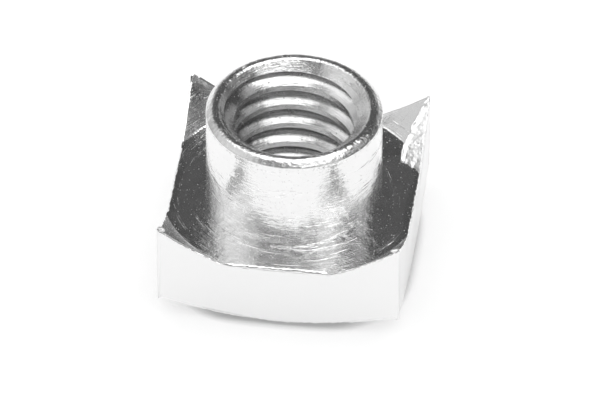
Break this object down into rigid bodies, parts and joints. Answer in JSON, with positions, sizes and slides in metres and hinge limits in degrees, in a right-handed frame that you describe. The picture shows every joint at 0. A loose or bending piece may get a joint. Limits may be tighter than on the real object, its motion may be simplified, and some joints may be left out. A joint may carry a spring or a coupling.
{
  "type": "square blind nut",
  "caption": "Square blind nut turned from bar: a square flange with pointed corner prongs and a round barrel with a through thread.",
  "frame": {"origin": "on the thread's axis, on the plane of the flat ring that the nut stands on", "axes": "+Z along the thread, from the seat up the barrel; X and Y square to the flange's sides"},
  "size_m": [0.0158, 0.0158, 0.0119],
  "materials": {
    "plated_steel": "bright plated, over turned steel"
  },
  "bodies": {
    "root": {"blind_nut": "plated_steel"}
  },
  "joints": []
}
